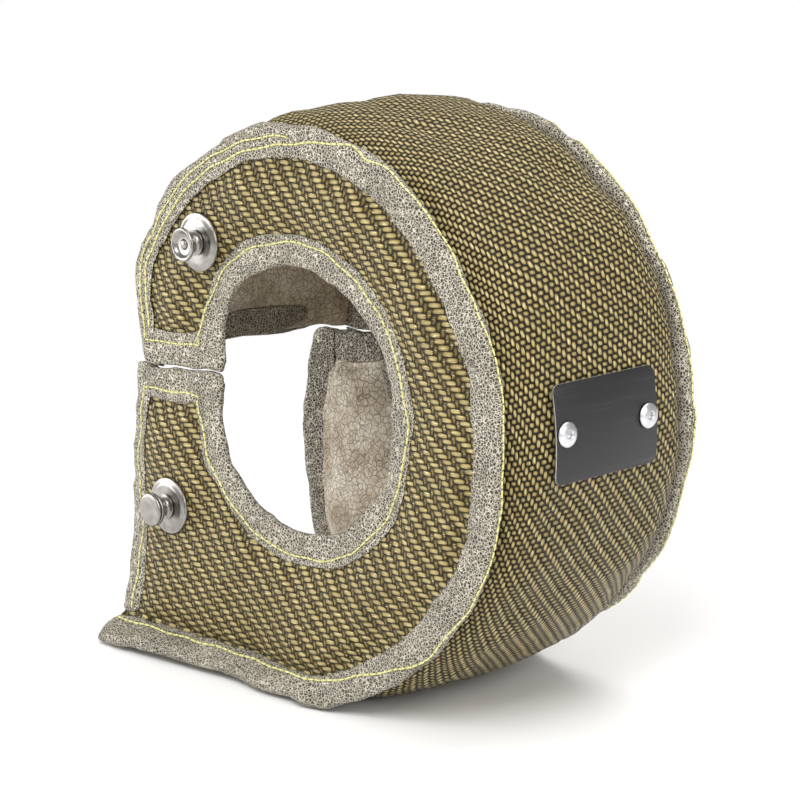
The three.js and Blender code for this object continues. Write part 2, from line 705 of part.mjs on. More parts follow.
const bandCloth = along(stations, sheetOf(bandClothPath, clothThickness, clothOuter), placeFront);
const bandPadding = along(stations.filter((s) => s.puff > 0), bandPaddingSection, placeFront);
addMesh('band_outer_cloth', cut(bandCloth, rivetHoles), 'cloth');
addMesh('band_insulation', cut(bandPadding, rivetPockets), 'insulation');
const bandLining = along(stations, sheetOf(bandLiningPath, liningThickness, liningOuter), placeFront);
addMesh('band_lining', bandLining, 'lining');
addMesh('band_upper_binding', endTape(stations[0], ({ x, y }, depth) => (
  new THREE.Vector3(y - backEdge, depth, upperLip + x))), 'tape');
addMesh('band_tail_binding', endTape(stations.at(-1), ({ x, y }, depth) => (
  new THREE.Vector3(x - mouthEdge, depth, y - axisHeight))), 'tape');

addAnchor('upper_anchor', upperAnchor, false);
addAnchor('lower_anchor', lowerAnchor, true);

addMesh('name_plate', cut(plateGeometry(), rivetHoles), 'plate');
for (const [name, side] of rivetSides) {
  addMesh(`plate_rivet_${name}`, atRivet(rivetGeometry(), side), 'aluminium');
  addMesh(`rivet_washer_${name}`, atRivet(backingGeometry(), side), 'aluminium');
}

export default blanket;
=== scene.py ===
# Turbo heat blanket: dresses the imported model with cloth, tape, thread and metal.
# Lengths in the tables are millimetres, and everything that is made is in metres.
import math
import bpy
import numpy as np
from mathutils import Matrix, Vector


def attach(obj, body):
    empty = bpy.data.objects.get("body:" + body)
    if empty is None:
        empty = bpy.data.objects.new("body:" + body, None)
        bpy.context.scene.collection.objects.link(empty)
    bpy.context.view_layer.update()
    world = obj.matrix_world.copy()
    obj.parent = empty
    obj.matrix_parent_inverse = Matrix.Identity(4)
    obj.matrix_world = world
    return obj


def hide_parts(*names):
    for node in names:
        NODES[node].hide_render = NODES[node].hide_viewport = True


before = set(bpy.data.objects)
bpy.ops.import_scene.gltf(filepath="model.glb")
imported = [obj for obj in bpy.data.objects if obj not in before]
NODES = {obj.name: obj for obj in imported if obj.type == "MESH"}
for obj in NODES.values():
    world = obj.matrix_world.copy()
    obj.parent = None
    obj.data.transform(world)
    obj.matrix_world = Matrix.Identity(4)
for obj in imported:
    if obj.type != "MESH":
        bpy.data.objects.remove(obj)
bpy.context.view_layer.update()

MM = 0.001

# Sizes of the cover, as in the part's source.
CROWN_RADIUS = 110.0
BODY_WIDTH = 95.0
HALF_WIDTH = BODY_WIDTH / 2
AXIS_HEIGHT = 109.5
CROWN_SAG = 0.6
BACK_EDGE = 100.0
BACK_BLEND = 40.0
MOUTH_EDGE = 104.0
MOUTH_TAPER = 4.0
HOLE_RADIUS = 50.0
HOLE_LIFT = 3.5
LIP_REACH = 8.0
SLIT_OUTER = 4.2
SLIT_INNER = 7.0
SLIT_GAP = 2.4
TAPE_WIDTH = 12.7
TAPE_OUTER = 2.95
CLOTH_OUTER = 1.85
FACE_PUFF = 2.8
CLEARANCE = 0.3
SEAM_EASE = 2.55
LIP_STRAIGHT = 5.0
TAIL_SPREAD = 8.0
MOUTH_PINCH = 4.0
FACE_ZONE = 30.0
ROUND_ROOT = 17.7
FOOT_ROOT = 8.7
FOOT_LEAN = math.radians(60)
BLEND_TURN = math.radians(148.8)
UPPER_LIP = SLIT_OUTER + SLIT_GAP / 2
LOWER_LIP = SLIT_OUTER - SLIT_GAP / 2

# Stitches and folds, which only this script draws.
STITCH_LINE = 8.6
STITCH_PITCH = 3.3
STITCH_CREST = 2.2
STITCH_LEVEL = HALF_WIDTH + 2.9
SECOND_LINE = 5.0
BAR_TACKS = (-97.6, -96.8, -90.6, -89.8)
SOFT_FOLDS = 4.0
FINE_RIPPLE = 2.2

# Places and sizes of the metal pieces.
ANCHORS = {"upper": (-52.0, 56.0), "lower": (-72.6, -49.5)}
PLATE_ANGLE = math.radians(3.7)
PLATE_OFFSET = -4.0
PLATE_SIZE = (51.0, 35.0, 0.8)
PLATE_CORNER = 3.0
PLATE_RISE = 7.0
RIVET_REACH = 20.5
WASHER_HOLD = 10.0


# Working in Blender
def activate(*pieces):
    """Selects only these pieces, the last one active, in object mode."""
    if bpy.context.object and bpy.context.object.mode != "OBJECT":
        bpy.ops.object.mode_set(mode="OBJECT")
    bpy.ops.object.select_all(action="DESELECT")
    for piece in pieces:
        piece.select_set(True)
        bpy.context.view_layer.objects.active = piece
    return pieces[-1]


def apply_all(piece):
    activate(piece)
    for modifier in list(piece.modifiers):
        bpy.ops.object.modifier_apply(modifier=modifier.name)
    return piece


def smooth(piece, degrees=None):
    activate(piece)
    if degrees is None:
        bpy.ops.object.shade_smooth()
    else:
        bpy.ops.object.shade_smooth_by_angle(angle=math.radians(degrees))
    return piece


def face_outwards(piece):
    activate(piece)
    bpy.ops.object.mode_set(mode="EDIT")
    bpy.ops.mesh.select_all(action="SELECT")
    bpy.ops.mesh.normals_make_consistent(inside=False)
    bpy.ops.object.mode_set(mode="OBJECT")
    return piece

def points_of(piece):
    count = len(piece.data.vertices)
    co = np.empty(count * 3)
    piece.data.vertices.foreach_get("co", co)
    return co.reshape(count, 3)


def set_points(piece, co):
    piece.data.vertices.foreach_set("co", np.ascontiguousarray(co).ravel())
    piece.data.update()


def settle_in(piece, slot, *nodes):
    """The piece rides on the body and stands for these nodes."""
    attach(piece, "root")
    if nodes:
        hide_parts(*nodes)
    return piece


# Materials
def colour(red, green, blue):
    """Screen values from 0 to 255 as a linear colour."""
    def linear(value):
        value /= 255
        return value / 12.92 if value <= 0.04045 else ((value + 0.055) / 1.055) ** 2.4
    return (linear(red), linear(green), linear(blue), 1.0)


class Finish:
    """A material under construction, with short calls for its nodes."""

    def __init__(self, name, roughness=0.6, metallic=0.0):
        self.material = bpy.data.materials.new(name)
        self.material.use_nodes = True
        self.tree = self.material.node_tree
        self.surface = self.tree.nodes["Principled BSDF"]
        self.surface.inputs["Roughness"].default_value = roughness
        self.surface.inputs["Metallic"].default_value = metallic

    def link(self, source, socket):
        if hasattr(source, "is_output"):
            self.tree.links.new(source, socket)
        else:
            socket.default_value = source

    def node(self, kind, output, settings=None, **inputs):
        made = self.tree.nodes.new(kind)
        for key, value in (settings or {}).items():
            setattr(made, key, value)
        for key, value in inputs.items():
            self.link(value, made.inputs[key.replace("_", " ")])
        return made.outputs[output]

    def math(self, operation, *values):
        made = self.tree.nodes.new("ShaderNodeMath")
        made.operation = operation
        for socket, value in zip(made.inputs, values):
            self.link(value, socket)
        return made.outputs[0]

    def place(self):
        return self.node("ShaderNodeTexCoord", "Object")

    def axes(self, vector):
        split = self.tree.nodes.new("ShaderNodeSeparateXYZ")
        self.link(vector, split.inputs[0])
        return split.outputs

    def joined(self, x, y, z=0.0):
        made = self.tree.nodes.new("ShaderNodeCombineXYZ")
        for socket, value in zip(made.inputs, (x, y, z)):
            self.link(value, socket)
        return made.outputs[0]

    def noise(self, vector, scale, detail=2.0, roughness=0.5, output="Fac"):
        return self.node("ShaderNodeTexNoise", output, Vector=vector, Scale=scale,
                         Detail=detail, Roughness=roughness)

    def cell_edges(self, vector, scale):
        """How far each point is from the edge of its cell."""
        return self.node("ShaderNodeTexVoronoi", "Distance", {"feature": "DISTANCE_TO_EDGE"},
                         Vector=vector, Scale=scale)

    def swayed(self, vector, scale, reach):
        """The place moved a little by noise, so that a pattern isn't regular."""
        made = self.tree.nodes.new("ShaderNodeVectorMath")
        made.operation = "MULTIPLY_ADD"
        self.link(self.noise(vector, scale, output="Color"), made.inputs[0])
        made.inputs[1].default_value = (reach, reach, reach)
        self.link(vector, made.inputs[2])
        return made.outputs[0]

    def times(self, first, second):
        return self.math("MULTIPLY", first, second)

    def stretched(self, vector, x, y, z):
        """The place with its axes scaled apart, for a grain that runs one way."""
        axes = self.axes(vector)
        return self.joined(self.times(axes[0], x), self.times(axes[1], y), self.times(axes[2], z))

    def ramp(self, fac, *stops):
        made = self.tree.nodes.new("ShaderNodeValToRGB")
        elements = made.color_ramp.elements
        while len(elements) < len(stops):
            elements.new(0.5)
        for element, (position, value) in zip(elements, stops):
            element.position = position
            element.color = value if hasattr(value, "__len__") else (value, value, value, 1)
        self.link(fac, made.inputs[0])
        return made.outputs[0]

    def mix(self, fac, first, second, blend="MIX"):
        made = self.tree.nodes.new("ShaderNodeMix")
        made.data_type = "RGBA"
        made.blend_type = blend
        self.link(fac, made.inputs[0])
        self.link(first, made.inputs[6])
        self.link(second, made.inputs[7])
        return made.outputs[2]

    def shaded(self, base, share, fac, *stops):
        """The colour darkened, by a share, where the ramp over fac is dark."""
        return self.mix(share, base, self.ramp(fac, *stops), "MULTIPLY")

    def bump(self, height, distance, strength=1.0, normal=None):
        made = self.tree.nodes.new("ShaderNodeBump")
        made.inputs["Strength"].default_value = strength
        made.inputs["Distance"].default_value = distance
        self.link(height, made.inputs["Height"])
        if normal is not None:
            self.link(normal, made.inputs["Normal"])
        return made.outputs[0]

    def finish(self, base, normal=None, roughness=None):
        self.link(base, self.surface.inputs["Base Color"])
        if normal is not None:
            self.link(normal, self.surface.inputs["Normal"])
        if roughness is not None:
            self.link(roughness, self.surface.inputs["Roughness"])
        return self.material


TOW_PITCH = 1.93
TOWS_IN_REPEAT = 4.0
TOW_FULLNESS = 0.32
WARP_DEPTH = 0.8
SLOW_SWAY = 1.5
FINE_SWAY = 0.22


def woven_cloth(name, along, across, weft_length, arching, warp_top):
    """Two-up, two-down twill of flat glassy tows. along and across name its two directions."""
    f = Finish(name, roughness=0.5)
    place = f.place()
    axes = f.axes(place)
    girth = f.node("ShaderNodeAttribute", "Fac", {"attribute_name": "girth"})
    width = f.node("ShaderNodeAttribute", "Fac", {"attribute_name": "width"})
    source = {"x": axes[0], "z": axes[2], "girth": girth, "width": f.times(width, -1.0)}
    drift = f.axes(f.noise(place, 22.0, 1.0, output="Color"))
    fine_drift = f.axes(f.noise(place, 160.0, 1.0, output="Color"))

    def tow_place(direction, sway, ripple):
        pitch = f.math("DIVIDE", source[direction], TOW_PITCH * MM)
        pitch = f.math("MULTIPLY_ADD", sway, SLOW_SWAY, pitch)
        return f.math("MULTIPLY_ADD", ripple, FINE_SWAY, pitch)
    u = tow_place(along, drift[0], fine_drift[0])
    v = tow_place(across, drift[1], fine_drift[1])
    u_cell = f.math("FLOOR", u)
    v_cell = f.math("FLOOR", v)
    u_part = f.math("SUBTRACT", u, u_cell)
    v_part = f.math("SUBTRACT", v, v_cell)
    weft_place = f.math("ADD", u, v_cell)
    warp_place = f.math("ADD", v, u_cell)
    weft_run = f.math("FLOORED_MODULO", f.math("ADD", weft_place, (weft_length - 2) / 2), TOWS_IN_REPEAT)
    warp_run = f.math("FLOORED_MODULO", f.math("ADD", warp_place, 2.0), TOWS_IN_REPEAT)
    is_weft = f.math("LESS_THAN", weft_run, weft_length)
    is_warp = f.math("SUBTRACT", 1.0, is_weft)

    def float_height(run, length, part):
        swell = f.math("MAXIMUM", f.math("SINE", f.times(run, math.pi / length)), 0.0)
        arch = f.math("POWER", swell, arching)
        crown = f.math("POWER", f.math("SINE", f.times(part, math.pi)), TOW_FULLNESS)
        return f.times(arch, crown)
    weft = f.times(float_height(weft_run, weft_length, v_part), is_weft)
    warp = f.times(float_height(warp_run, 2.0, u_part), is_warp)
    height = f.math("MAXIMUM", weft, f.times(warp, WARP_DEPTH))
    # Filaments run along each float.
    filament_weft = f.noise(f.joined(f.times(u, 0.35), f.times(v, 9.0)), 1.0, 3.0)
    filament_warp = f.noise(f.joined(f.times(u, 9.0), f.times(v, 0.35)), 1.0, 3.0)
    filament = f.math("ADD", f.times(filament_weft, is_weft), f.times(filament_warp, is_warp))
    # Each float has its own shade.
    shade = f.tree.nodes.new("ShaderNodeTexWhiteNoise")
    shade.noise_dimensions = "2D"
    cell = f.joined(f.math("FLOOR", f.times(weft_place, 0.5)), v_cell)
    f.link(cell, shade.inputs["Vector"])
    # Painted shade: both ramps turn near black at low height, so the gaps between floats and the float ends
    # carry shade in their colour, and the warp floats are given darker colours than the weft floats, as
    # painted shade on the same glassy tow.
    weft_colour = f.ramp(height, (0.3, colour(14, 8, 1)), (0.55, colour(78, 63, 24)),
                         (0.76, colour(164, 147, 95)), (1.0, colour(200, 185, 136)))
    warp_colour = f.ramp(height, (0.25, colour(10, 6, 1)), (0.5, colour(56, 44, 12)),
                         (0.8, colour(*warp_top)))
    base = f.mix(is_weft, warp_colour, weft_colour)
    base = f.shaded(base, 0.5, filament, (0.3, 0.4), (0.65, 1.0))
    base = f.shaded(base, 0.4, shade.outputs["Value"], (0.0, 0.5), (1.0, 1.0))
    patches = f.noise(place, 26.0, 3.0)
    base = f.shaded(base, 0.5, patches, (0.3, colour(214, 205, 170)), (0.7, colour(255, 252, 240)))
    # Painted glints: a few filaments on the float tops are given a pale colour, as if they caught the light.
    glint = f.noise(f.joined(f.times(u, 0.5), f.times(v, 6.0)), 1.0, 2.0)
    glint = f.ramp(glint, (0.6, 0.0), (0.68, 1.0))
    spark = f.times(glint, f.ramp(height, (0.55, 0.0), (0.8, 1.0)))
    base = f.mix(f.times(spark, 0.8), base, colour(252, 240, 190))
    relief = f.math("MULTIPLY_ADD", filament, 0.22, height)
    shine = f.math("ADD", f.times(filament, 0.6), f.times(height, 0.3))
    rough = f.ramp(shine, (0.2, 0.56), (0.8, 0.3))
    f.surface.inputs["Specular IOR Level"].default_value = 0.2
    f.surface.inputs["Sheen Weight"].default_value = 0.05
    return f.finish(base, f.bump(relief, 0.0006, 1.0), rough)


def knitted_mesh(name):
    """Knitted steel wire tape: bright crossing loops, with painted shade in the dark gaps between them."""
    f = Finish(name, roughness=0.45, metallic=0.2)
    place = f.place()
    spot = f.swayed(place, 900.0, 0.0007)
    loops = f.cell_edges(spot, 820.0)
    fine = f.cell_edges(spot, 1500.0)
    wire = f.ramp(loops, (0.0, 1.0), (0.07, 0.85), (0.17, 0.0))
    wire_fine = f.ramp(fine, (0.0, 0.8), (0.06, 0.55), (0.14, 0.0))
    height = f.math("MAXIMUM", wire, wire_fine)
    soot = f.noise(place, 60.0, 4.0, 0.6)
    # Painted shade: the colour runs dark where the wire height is low, in the gaps between the loops.
    base = f.ramp(height, (0.0, colour(32, 27, 20)), (0.35, colour(88, 81, 68)),
                  (0.7, colour(172, 165, 148)), (1.0, colour(218, 213, 200)))
    base = f.shaded(base, 0.5, soot, (0.3, colour(150, 144, 128)), (0.62, colour(238, 235, 228)))
    return f.finish(base, f.bump(height, 0.00035, 0.9), f.ramp(height, (0.0, 0.75), (1.0, 0.36)))


def wire_lining(name):
    """Close-knitted mesh on the hot side, crinkled, with painted shade in the dark lines between its loops
    and in the hollows of its crinkles.
    """
    f = Finish(name, roughness=0.5, metallic=0.1)
    place = f.place()
    loops = f.cell_edges(f.swayed(place, 260.0, 0.003), 380.0)
    fine = f.cell_edges(place, 1100.0)
    line = f.ramp(loops, (0.0, 0.0), (0.09, 1.0))
    fine_gaps = f.ramp(fine, (0.0, 0.0), (0.2, 1.0))
    folds = f.noise(place, 70.0, 5.0, 0.6)
    # Painted shade and highlight: the colour follows the same noise as the crinkles' bump, darker in their
    # hollows and paler on their crests.
    base = f.ramp(folds, (0.32, colour(184, 168, 146)), (0.5, colour(224, 210, 188)),
                  (0.68, colour(246, 238, 222)))
    # Painted shade: the lines between the loops and the fine gaps between smaller loops are darkened in
    # colour.
    base = f.mix(0.5, base, f.mix(line, colour(110, 88, 70), colour(255, 255, 255)), "MULTIPLY")
    base = f.mix(0.35, base, f.mix(fine_gaps, colour(150, 140, 124), colour(255, 255, 255)), "MULTIPLY")
    under = f.bump(folds, 0.004, 0.9)
    return f.finish(base, f.bump(f.math("MULTIPLY_ADD", fine_gaps, 0.4, line), 0.0005, 0.8, under))


def fibre_mat(name):
    f = Finish(name, roughness=0.95)
    place = f.place()
    strands = f.noise(place, 900.0, 6.0, 0.7)
    tufts = f.noise(place, 120.0, 3.0)
    base = f.shaded(colour(233, 228, 214), 0.5, strands, (0.3, 0.6), (0.7, 1.0))
    return f.finish(base, f.bump(f.math("ADD", strands, tufts), 0.001))


def yellow_thread(name):
    f = Finish(name, roughness=0.6)
    place = f.place()
    twist = f.noise(place, 1500.0, 2.0)
    base = f.ramp(twist, (0.3, colour(186, 180, 104)), (0.55, colour(224, 220, 148)),
                  (0.75, colour(242, 240, 192)))
    return f.finish(base, f.bump(twist, 0.0002))


def brushed_steel(name):
    f = Finish(name, roughness=0.3, metallic=1.0)
    place = f.place()
    scratch = f.noise(f.stretched(place, 300.0, 5000.0, 300.0), 1.0, 3.0)
    worn = f.noise(place, 300.0, 3.0)
    base = f.ramp(worn, (0.3, colour(138, 134, 130)), (0.7, colour(168, 165, 161)))
    rough = f.ramp(scratch, (0.3, 0.24), (0.7, 0.4))
    return f.finish(base, f.bump(scratch, 0.00004, 0.6), rough)


def aluminium(name):
    f = Finish(name, roughness=0.34, metallic=1.0)
    place = f.place()
    grain = f.noise(place, 2500.0, 3.0)
    marks = f.noise(place, 350.0, 2.0)
    base = f.ramp(marks, (0.3, colour(206, 207, 210)), (0.7, colour(228, 229, 231)))
    return f.finish(base, f.bump(grain, 0.00005, 0.5), f.ramp(grain, (0.3, 0.28), (0.7, 0.45)))


def black_plate(name):
    f = Finish(name, roughness=0.4, metallic=0.1)
    place = f.place()
    grain = f.noise(place, 2600.0, 2.0)
    rub = f.noise(f.stretched(place, 40.0, 40.0, 700.0), 1.0, 3.0)
    base = f.mix(f.ramp(rub, (0.55, 0.0), (0.8, 0.35)), colour(31, 31, 34), colour(62, 62, 66))
    f.surface.inputs["Coat Weight"].default_value = 0.15
    f.surface.inputs["Coat Roughness"].default_value = 0.3
    return f.finish(base, f.bump(grain, 0.00003, 0.5), f.ramp(rub, (0.3, 0.36), (0.7, 0.5)))


FACE_CLOTH = woven_cloth("woven mineral cloth of the faces", "x", "z", 2.6, 0.42, (130, 115, 62))
BAND_CLOTH = woven_cloth("woven mineral cloth of the band", "girth", "width", 2.1, 0.7, (178, 161, 104))
TAPE = knitted_mesh("knitted wire tape")
LINING = wire_lining("crinkled wire mesh")
MAT = fibre_mat("fibre mat")
THREAD = yellow_thread("pale yellow thread")
STEEL = brushed_steel("brushed stainless steel")
ALUMINIUM = aluminium("satin aluminium")
PLATE = black_plate("black satin plate")


def give(piece, *materials):
    piece.data.materials.clear()
    for material in materials:
        piece.data.materials.append(material)
    return piece


# The cover's lines
def step(value, low, high):
    share = min(max((value - low) / (high - low), 0.0), 1.0)
    return share * share * (3 - 2 * share)


def settle(x, y, z):
    """How the standing cover bends its faces near the mouth, about the ring axis."""
    side = min(max(y / HALF_WIDTH, -1), 1)
    low = max(1 - (AXIS_HEIGHT + z) / (0.34 * AXIS_HEIGHT), 0)
    middle = step(-z, -8, 4) * (1 - step(-z, 50, 84))
    shift = TAIL_SPREAD * step(-x, 30, 90) * low * low - MOUTH_PINCH * step(-x, 84, MOUTH_EDGE) * middle
    return Vector((x, y + side * shift, z + AXIS_HEIGHT)) * MM


def crown_line():
    """(x, z, angle of the outward normal, foot's share) along the crown, from the slit to the tail."""
    line = []
    blend_z = math.sqrt((CROWN_RADIUS - BACK_BLEND) ** 2 - (BACK_EDGE - BACK_BLEND) ** 2)
    for z in np.linspace(UPPER_LIP + 0.5, blend_z, 12, endpoint=False):
        line.append((-BACK_EDGE, z, math.pi, 0.0))
    blend_end = math.atan2(blend_z, BACK_BLEND - BACK_EDGE)
    for angle in np.linspace(math.pi, blend_end, 12, endpoint=False):
        line.append((BACK_BLEND - BACK_EDGE + BACK_BLEND * math.cos(angle),
                     blend_z + BACK_BLEND * math.sin(angle), angle, 0.0))
    end = -math.asin(AXIS_HEIGHT / (CROWN_RADIUS + CROWN_SAG))
    for angle in np.linspace(blend_end, end, 150):
        reach = CROWN_RADIUS + CROWN_SAG * step(-angle, 0.2 * math.pi, -end)
        line.append((reach * math.cos(angle), reach * math.sin(angle), angle,
                     step(-angle, 0.34 * math.pi, 0.52 * math.pi)))
    for x in np.linspace(6, 1 - MOUTH_EDGE, 60):
        line.append((x, -AXIS_HEIGHT, -math.pi / 2, 1.0))
    return line


def fin_spot(place, along, across, side):
    """A spot on a seam's fin and the way out of it. side is -1 for the front, 1 for the rear."""
    x, z, angle, foot = place
    lean = FOOT_LEAN * foot
    root = ROUND_ROOT + (FOOT_ROOT - ROUND_ROOT) * foot
    reach = along * math.cos(lean) + across * math.sin(lean) - root
    depth = across * math.cos(lean) - along * math.sin(lean)
    spot = settle(x + reach * math.cos(angle), side * (HALF_WIDTH - depth), z + reach * math.sin(angle))
    out = math.copysign(1, across)
    way = Vector((out * math.sin(lean) * math.cos(angle), -side * out * math.cos(lean),
                  out * math.sin(lean) * math.sin(angle)))
    return spot, way


def seam_stitch(place, side):
    """The seam's stitches keep to its face, and run over its crest where the band bulges most."""
    angle = place[2]
    climbed = step(angle, math.radians(-75), math.radians(-35))
    returned = step(angle, math.radians(60), math.radians(100))
    reach = STITCH_LINE - (STITCH_LINE + STITCH_CREST) * climbed * (1 - returned)
    if reach > 0:
        spot, face = fin_spot(place, TAPE_WIDTH - reach, -TAPE_OUTER, side)
    else:
        spot = fin_spot(place, TAPE_WIDTH, -TAPE_OUTER - reach, side)[0]
        face = fin_spot(place, TAPE_WIDTH, -TAPE_OUTER, side)[1]
    crest = Vector((math.cos(angle), 0, math.sin(angle)))
    turn = step(-reach, -1.5, 1.5)
    return spot, (face * (1 - turn) + crest * turn).normalized()


def slit_height(x, side):
    """Height of the slit's middle at x. side is 1 for its upper lip and -1 for its lower one."""
    upper_end = BACK_EDGE - ROUND_ROOT - SEAM_EASE
    lower_end = MOUTH_EDGE - MOUTH_TAPER - TAPE_WIDTH - CLEARANCE
    end = (upper_end if side > 0 else lower_end) - LIP_STRAIGHT
    lip = HOLE_RADIUS - LIP_REACH
    share = min(max((-x - lip) / (end - lip), 0), 1)
    return SLIT_INNER + (SLIT_OUTER - SLIT_INNER) * share


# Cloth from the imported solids
def clouds(name, scale):
    """A field of soft lumps of this size, in metres, that bends every layer the same way."""
    texture = bpy.data.textures.new(name, "CLOUDS")
    texture.noise_scale = scale
    texture.noise_depth = 1
    texture.cloud_type = "COLOR"
    return texture

FOLDS = clouds("soft folds", 0.034)
RIPPLE = clouds("fine ripple", 0.009)

def copy_of(node, name):
    """A clean copy of a node's mesh, with its loose triangles merged to quads."""
    piece = NODES[node].copy()
    piece.data = NODES[node].data.copy()
    for key in list(piece.keys()):
        del piece[key]
    piece.name = name
    piece.parent = None
    bpy.context.scene.collection.objects.link(piece)
    piece.hide_render = False
    activate(piece)
    bpy.ops.object.mode_set(mode="EDIT")
    bpy.ops.mesh.select_all(action="SELECT")
    bpy.ops.mesh.remove_doubles(threshold=2e-6)
    bpy.ops.mesh.tris_convert_to_quads(face_threshold=math.radians(70), shape_threshold=math.radians(100))
    bpy.ops.object.mode_set(mode="OBJECT")
    return piece


def close_slit(piece):
    """Brings the lips of the slit nearly together, less so at the mouth's end."""
    co = points_of(piece) / MM
    x, z = co[:, 0], co[:, 2] - AXIS_HEIGHT
    middle = np.interp(-x, [HOLE_RADIUS - LIP_REACH, 80], [SLIT_INNER, SLIT_OUTER])
    felt = 14.0  # how far from a lip the pull is felt
    near = np.clip(1 - (np.abs(z - middle) - SLIT_GAP / 2) / felt, 0, 1)
    reach = np.interp(x, [-101, -80, -40, -30], [0.0, 0.8, 0.95, 0.0])
    side = np.sign(z - middle)
    shift = np.where(np.abs(co[:, 1]) > FACE_ZONE, -side * near * near * reach, 0)
    co[:, 2] += shift
    set_points(piece, co * MM)


def lap_ends(piece):
    """Draws the ends of a hole's tape along both lips, over the tapes that they meet."""
    co = points_of(piece) / MM
    x, z = co[:, 0], co[:, 2] - AXIS_HEIGHT
    start, upper_end, lower_end = -66.0, -79.75, -87.0
    upper_lap, lower_lap, lift = 9.5, 4.0, 0.7
    upper = (z > SLIT_OUTER) & (z < 24)
    share = np.clip((start - x) / (start - np.where(upper, upper_end, lower_end)), 0, 1)
    outside = np.clip((np.abs(co[:, 1]) - 47) / 2, 0, 1)
    co[:, 0] -= share * np.where(upper, upper_lap, lower_lap)
    co[:, 1] += np.sign(co[:, 1]) * share * share * lift * outside
    set_points(piece, co * MM)


def round_corner(piece, x, z, radius, across, upward):
    """Rounds a square corner of a face about the point x, z, which lies inside the corner."""
    co = points_of(piece) / MM
    dx, dz = (co[:, 0] - x) * across, (co[:, 2] - AXIS_HEIGHT - z) * upward
    in_corner = (dx > 0) & (dz > 0) & (dx < radius + 4) & (dz < radius + 4) & (np.abs(co[:, 1]) > FACE_ZONE)
    share = np.where(in_corner, np.maximum(dx, dz) / np.maximum(np.hypot(dx, dz), 1e-6), 1.0)
    co[:, 0] += across * dx * (share - 1)
    co[:, 2] += upward * dz * (share - 1)
    set_points(piece, co * MM)


# Corners of a face: inner point's x and z, radius, and which way the corner points.
LOWER_ROUND = 5.0
UPPER_ROUND = 3.5
LIP_HALF = SLIT_GAP / 2
HOLE_LIP = LIP_REACH - HOLE_RADIUS
CORNERS = (
    (LOWER_ROUND - BACK_EDGE, LOWER_LIP - LOWER_ROUND, LOWER_ROUND, -1, 1),
    (UPPER_ROUND - BACK_EDGE, UPPER_LIP + UPPER_ROUND, UPPER_ROUND, -1, -1),
    (HOLE_LIP - LOWER_ROUND, SLIT_INNER - LIP_HALF - LOWER_ROUND, LOWER_ROUND, 1, 1),
    (HOLE_LIP - UPPER_ROUND, SLIT_INNER + LIP_HALF + UPPER_ROUND, UPPER_ROUND, 1, -1),
)

def hold_still(piece):
    """A group that is 1 where the cloth is free to fold and small under the anchors and the plate."""
    co = points_of(piece) / MM
    far, ease, least = 1000.0, 12.0, 0.12
    gap = np.full(len(co), far)
    for x, z in ANCHORS.values():
        gap = np.minimum(gap, np.hypot(co[:, 0] - x, co[:, 2] - AXIS_HEIGHT - z) - WASHER_HOLD)
    dy = np.maximum(np.abs(co[:, 1] - PLATE_OFFSET) - PLATE_SIZE[0] / 2, 0)
    dz = np.maximum(np.abs(co[:, 2] - AXIS_HEIGHT - PLATE_RISE) - PLATE_SIZE[1] / 2, 0)
    on_right = co[:, 0] > 60
    gap = np.minimum(gap, np.where(on_right, np.hypot(dy, dz), far))
    weights = np.clip(gap / ease, least, 1)
    group = piece.vertex_groups.new(name="loose")
    for index, weight in enumerate(weights):
        group.add([index], weight, "REPLACE")


def soften(piece, levels, lowest=0.0):
    """Rounds the facets of a cloth, folds it gently, keeps it off the floor and closes the slit."""
    rounding = piece.modifiers.new("rounding", "SUBSURF")
    rounding.levels = rounding.render_levels = levels
    apply_all(piece)
    hold_still(piece)
    for texture, strength in ((FOLDS, SOFT_FOLDS), (RIPPLE, FINE_RIPPLE)):
        displace = piece.modifiers.new(texture.name, "DISPLACE")
        displace.texture = texture
        displace.texture_coords = "LOCAL"
        displace.direction = "RGB_TO_XYZ"
        displace.strength = strength * MM
        displace.mid_level = 0.5
        displace.vertex_group = "loose"
    apply_all(piece)
    co = points_of(piece)
    co[:, 2] = np.maximum(co[:, 2], lowest * MM)
    set_points(piece, co)
    close_slit(piece)
    for corner in CORNERS:
        round_corner(piece, *corner)
    return smooth(piece)


def measure_band(piece):
    """Stores how far each point is round the crown and across the band, in metres."""
    co = points_of(piece) / MM
    x, y, z = co[:, 0], co[:, 1], co[:, 2] - AXIS_HEIGHT
    angle = np.arctan2(z, x)
    girth = -angle * CROWN_RADIUS
    flat = (x < 0) & (z < -60)
    girth = np.where(flat, math.pi / 2 * CROWN_RADIUS - x, girth)
    back = (angle > BLEND_TURN)
    blend_top, blend_stretch = 57.0, 1.05
    girth = np.where(back, -BLEND_TURN * CROWN_RADIUS - (blend_top - z) * blend_stretch, girth)
    reach = np.where(flat, -z, np.where(back, -x + 10, np.hypot(x, z)))
    width = y + np.sign(y) * np.clip(CROWN_RADIUS - reach, 0, 20) * np.clip((np.abs(y) - 26) / 16, 0, 1)
    for label, values in (("girth", girth), ("width", width)):
        layer = piece.data.attributes.new(label, "FLOAT", "POINT")
        layer.data.foreach_set("value", (values * MM).astype(np.float32))


